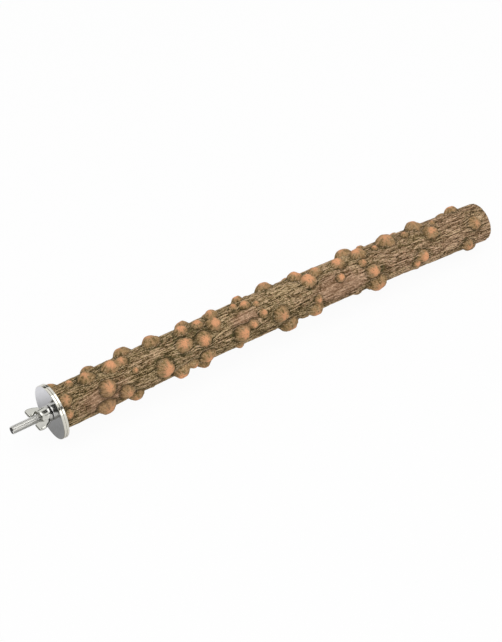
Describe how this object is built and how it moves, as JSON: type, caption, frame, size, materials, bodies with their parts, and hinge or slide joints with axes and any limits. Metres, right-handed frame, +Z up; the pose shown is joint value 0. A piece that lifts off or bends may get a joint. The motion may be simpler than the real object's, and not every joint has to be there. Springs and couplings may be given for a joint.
{
  "type": "bird perch",
  "caption": "Knobbly branch perch with its bark on, clamped to cage bars by two broad washers and a wing nut on a threaded stud at one end.",
  "frame": {"origin": "where the two washers meet, on the bolt's axis: the plane in which the cage bars are gripped", "axes": "+X along the branch from the washers to its cut end; +Z up, square to the wing nut's level wings; the stud points along -X"},
  "size_m": [0.4068, 0.0432, 0.0437],
  "materials": {
    "bark": "rough bark, brown with olive furrows, worn tan knobs",
    "wood": "sawn end grain",
    "bolt_steel": "bright plated thread",
    "washer_steel": "polished plate",
    "nut_steel": "polished casting"
  },
  "bodies": {
    "branch": {"bark": "bark", "wood_core": "wood", "hanger_bolt": "bolt_steel"},
    "inner_washer": {"inner_washer": "washer_steel"},
    "outer_washer": {"outer_washer": "washer_steel"},
    "wing_nut": {"wing_nut": "nut_steel"}
  },
  "joints": [
    {"name": "clamp_travel", "type": "slide", "parent": "branch", "child": "outer_washer", "axis": [-1, 0, 0], "range_m": [0, 0.02]},
    {"name": "nut_spin", "type": "hinge", "parent": "outer_washer", "child": "wing_nut", "pos_m": [0, 0, 0], "axis": [-1, 0, 0], "range_deg": [0, 7200]},
    {"name": "inner_washer_spin", "type": "hinge", "parent": "branch", "child": "inner_washer", "pos_m": [0, 0, 0], "axis": [-1, 0, 0], "continuous": true}
  ],
  "couplings": [
    {"joint": "clamp_travel", "follows": "nut_spin", "m_per_rad": 0.00015915}
  ]
}
